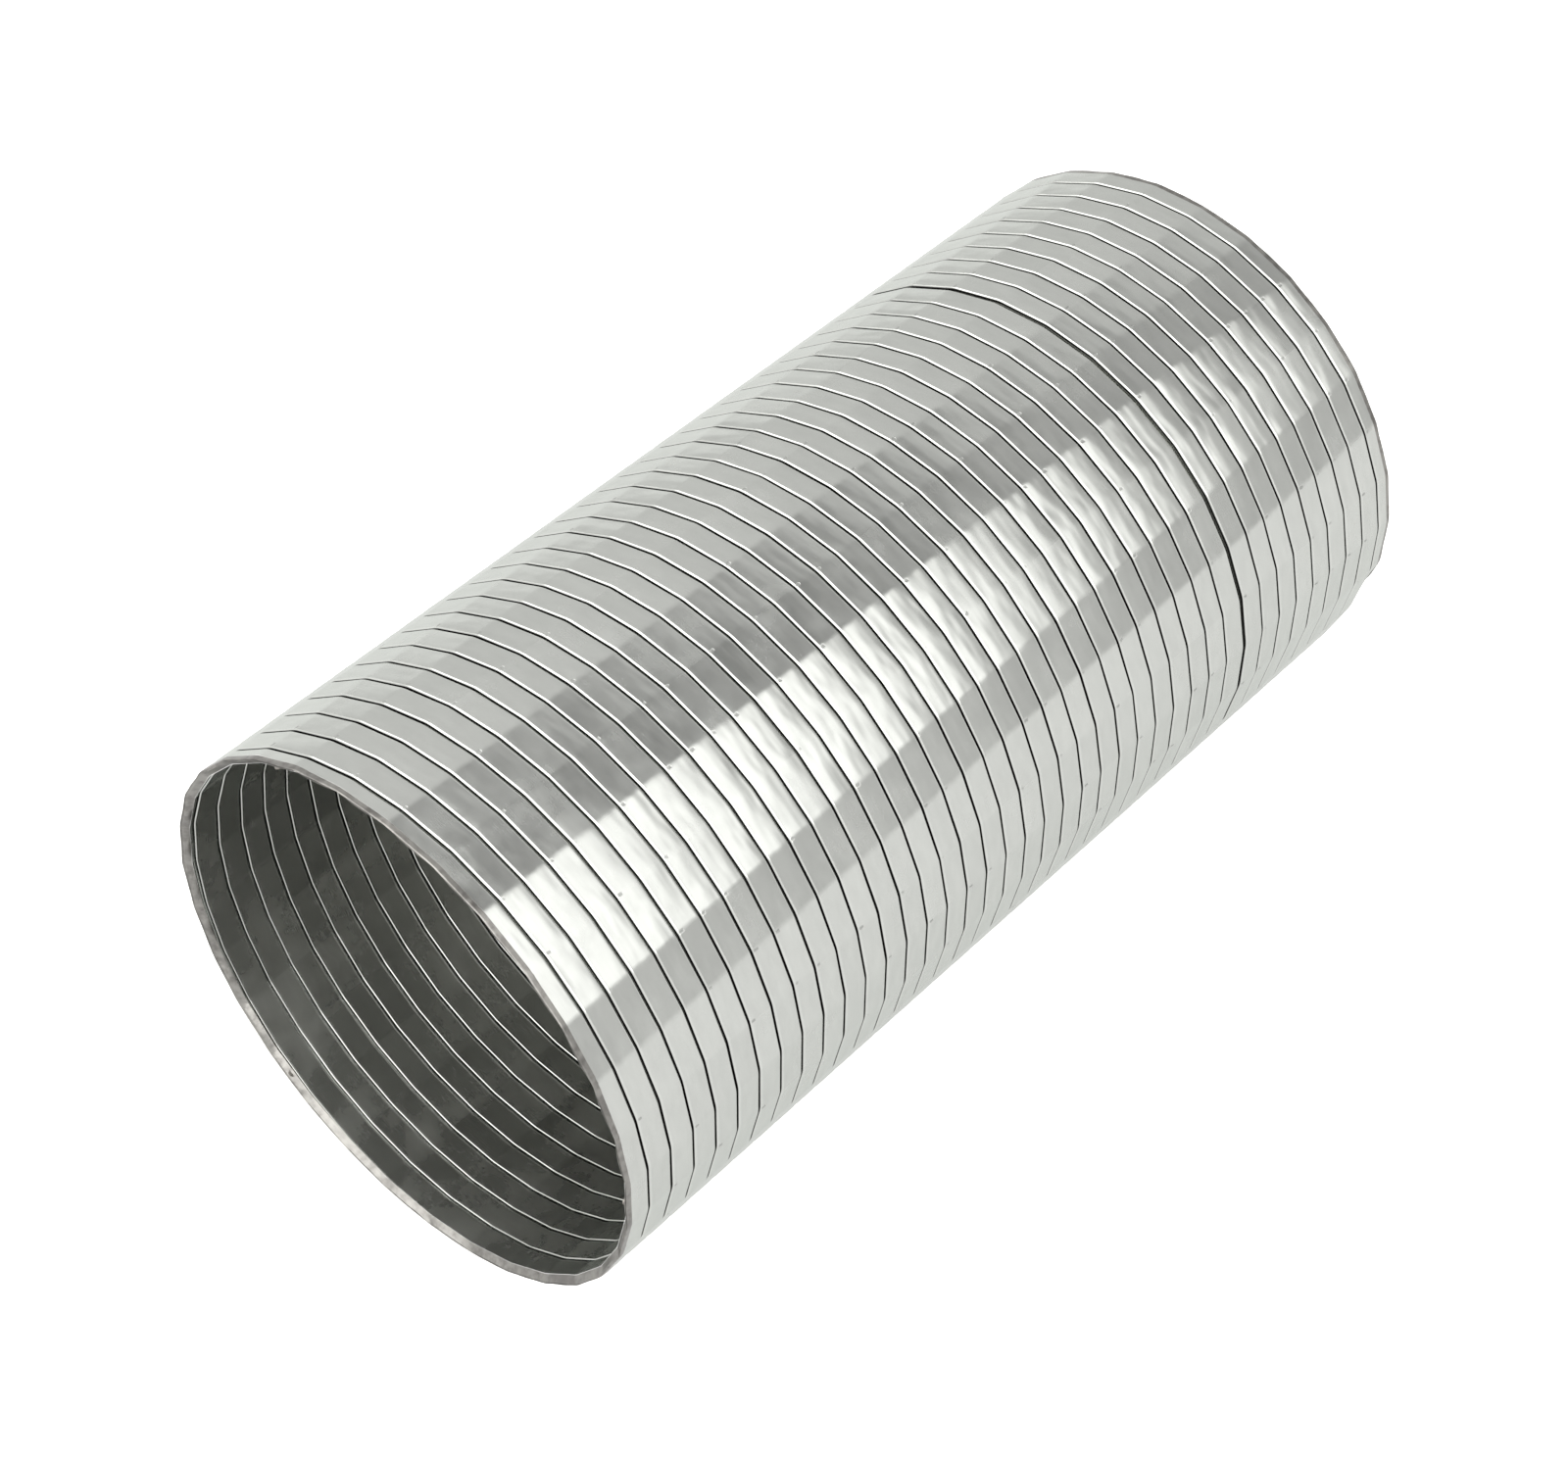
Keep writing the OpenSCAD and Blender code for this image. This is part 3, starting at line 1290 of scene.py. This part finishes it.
@dataclass
class Hose:
    """The whole hose."""

    form: StripForm
    places: Frame
    finishes: Finishes

    def build(self) -> None:
        """Builds and fits every piece."""
        winder = Winder(self.form, self.places)
        section = Section(self.form)
        outline = winder.helper("strip outline", section.turn())
        fine_outline = winder.helper("strip outline fine", section.turn(0.5 * MM))
        ends = CutEnds(self.form, self.places)
        for number in range(-1, self.form.turns + 1):
            turn = StripTurn(number, self.form, self.places, ends)
            used = fine_outline if number < 2 or number > self.form.turns - 3 else outline
            for part in Part:
                if number == -1 and part is Part.UPPER:
                    continue
                piece = turn.build(part, winder, used, self.finishes)
                if not piece.data.polygons:
                    bpy.data.objects.remove(piece)
                    continue
                turn.fit(piece, part)
                LOG.info("%s: %d faces", piece.name, len(piece.data.polygons))
        for name, far_side in (("near_rim", False), ("far_rim", True)):
            rim = CrimpedRim(name, self.form, self.places, ends, far_side)
            piece = rim.build(winder, section, self.finishes)
            rim.fit(piece)
            LOG.info("%s: %d faces", piece.name, len(piece.data.polygons))
        winder.clear()
        self.dress_welds()

    def dress_welds(self) -> None:
        """Gives the CAD weld spots their finish."""
        for name in ("near_end_tacks", "far_end_tacks"):
            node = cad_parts[name]
            node.data.materials.clear()
            node.data.materials.append(self.finishes.weld)
            LOG.info("%s: kept from the CAD model", name)


# Surroundings


@dataclass(frozen=True)
class Studio:
    """Plain pale floor, soft surrounding light and the camera.

    A band is an angle in degrees round the hose axis, from the -Y side towards +Z, and the light level
    there. far_bands stand towards the far end, near_bands less far that way, where the near part of the
    hose mirrors them, and behind_bands beside the hose and past its near end, with a dim gap between.
    The leans are the X of a direction at which one set fades into the next.
    """

    camera_at: Triple = (-0.38588, -0.30065, 0.60836)
    camera_right: Triple = (0.66840837, -0.74198265, 0.05188448)
    camera_down: Triple = (-0.53611924, -0.5289601, -0.65785816)
    lens: float = 76.54
    near_bands: tuple[Point, ...] = (
        (-180, 0.62), (-95, 0.85), (-6, 0.9), (4, 0.86), (9, 0.66), (27, 0.68),
        (33, 1.7), (72, 1.65), (80, 0.26), (110, 0.36), (122, 0.74), (180, 0.74),
    )
    far_bands: tuple[Point, ...] = (
        (-180, 0.62), (-95, 0.85), (-6, 0.75), (4, 0.66), (9, 0.58), (27, 0.58),
        (33, 0.66), (72, 0.46), (80, 0.46), (110, 0.66), (122, 0.7), (180, 0.74),
    )
    behind_bands: tuple[Point, ...] = (
        (-180, 0.7), (-95, 0.85), (-6, 0.9), (4, 0.8), (20, 0.9),
        (30, 2.6), (150, 2.6), (165, 1.0), (180, 0.8),
    )
    dim_level: float = 0.45
    far_lean: Point = (0.46, 0.66)
    dim_lean: Point = (0.32, 0.2)
    behind_lean: Point = (0.2, 0.08)
    floor_size: float = 12.0
    floor_gap: float = 0.2 * MM

    def build(self) -> None:
        """Makes all of it."""
        self.floor()
        self.world()
        self.camera()

    def floor(self) -> None:
        """Lays the floor under the hose."""
        half = self.floor_size / 2
        mesh = bpy.data.meshes.new("floor")
        corners = [(-half, -half, 0), (half, -half, 0), (half, half, 0), (-half, half, 0)]
        mesh.from_pydata(corners, [], [(0, 1, 2, 3)])
        floor = bpy.data.objects.new("floor", mesh)
        floor.location.z = CAD_BOX[0].z - self.floor_gap
        bpy.context.scene.collection.objects.link(floor)
        made = bpy.data.materials.new("pale floor")
        made.use_nodes = True
        nodes = Nodes(made.node_tree)
        shader = made.node_tree.nodes["Principled BSDF"]
        shader.inputs["Roughness"].default_value = 0.9
        shader.inputs["Emission Color"].default_value = (1, 1, 0.99, 1)
        seen = nodes.add("ShaderNodeLightPath").outputs["Is Camera Ray"]
        nodes.put(shader.inputs["Base Color"], nodes.tint(seen, (0.2, 0.2, 0.2, 1), (0.8, 0.8, 0.79, 1)))
        nodes.put(shader.inputs["Emission Strength"], nodes.mix(seen, 0.57, 0.55))
        LOG.info("floor: %d nodes", len(nodes.tree.nodes))
        mesh.materials.append(made)

    def world(self) -> None:
        """Lights the hose with soft bands of light round its axis."""
        world = bpy.data.worlds.new("soft studio")
        world.use_nodes = True
        bpy.context.scene.world = world
        nodes = Nodes(world.node_tree)
        background = world.node_tree.nodes["Background"]
        heading = nodes.add("ShaderNodeTexCoord").outputs["Generated"]
        parts = nodes.add("ShaderNodeSeparateXYZ", {0: heading}).outputs
        angle = nodes.math("ARCTAN2", parts[2], nodes.math("MULTIPLY", parts[1], -1.0))
        share = nodes.math("MULTIPLY_ADD", angle, 1 / (2 * math.pi), 0.5)
        near_side = self.bands(nodes, share, self.near_bands)
        far_side = self.bands(nodes, share, self.far_bands)
        behind = self.bands(nodes, share, self.behind_bands)
        level = nodes.mix(nodes.fade(parts[0], *self.far_lean), near_side, far_side)
        level = nodes.mix(nodes.fade(parts[0], *self.dim_lean), level, self.dim_level)
        level = nodes.mix(nodes.fade(parts[0], *self.behind_lean), level, behind)
        seen = nodes.add("ShaderNodeLightPath").outputs["Is Camera Ray"]
        nodes.put(background.inputs["Strength"], nodes.mix(seen, level, 0.95))
        background.inputs["Color"].default_value = (1.0, 1.0, 0.985, 1)

    def bands(self, nodes: Nodes, share: Socket, stops: Sequence[Point]) -> Socket:
        """Makes a ramp of light levels round the hose axis.

        Args:
            nodes: The world's nodes.
            share: Angle round the axis as a share of a turn.
            stops: Angle in degrees and level of each stop.

        Returns:
            The level.
        """
        ramp = nodes.add("ShaderNodeValToRGB", {0: share})
        ramp.color_ramp.interpolation = "EASE"
        elements = ramp.color_ramp.elements
        while len(elements) < len(stops):
            elements.new(0.5)
        for element, (degrees, level) in zip(elements, stops):
            element.position = degrees / 360 + 0.5
            element.color = (level / 2, level / 2, level / 2, 1)
        return nodes.math("MULTIPLY", ramp.outputs[0], 2.0)

    def camera(self) -> None:
        """Places the camera."""
        data = bpy.data.cameras.new("camera")
        data.lens, data.sensor_width = self.lens, 36
        data.clip_start, data.clip_end = 0.02, 50
        camera = bpy.data.objects.new("camera", data)
        right, down = Vector(self.camera_right), Vector(self.camera_down)
        back = right.cross(-down)
        turned = Matrix((right, -down, back)).transposed().to_4x4()
        camera.matrix_world = Matrix.Translation(self.camera_at) @ turned
        bpy.context.scene.collection.objects.link(camera)
        bpy.context.scene.camera = camera
        bpy.context.scene.view_settings.view_transform = "Standard"


def main() -> None:
    """Builds the studio and the hose."""
    logging.basicConfig(level=logging.INFO, format="%(name)s: %(message)s")
    form = StripForm()
    places = Frame.read(form)
    Studio().build()
    Hose(form, places, Finishes(form)).build()


if __name__ == "__main__":
    main()
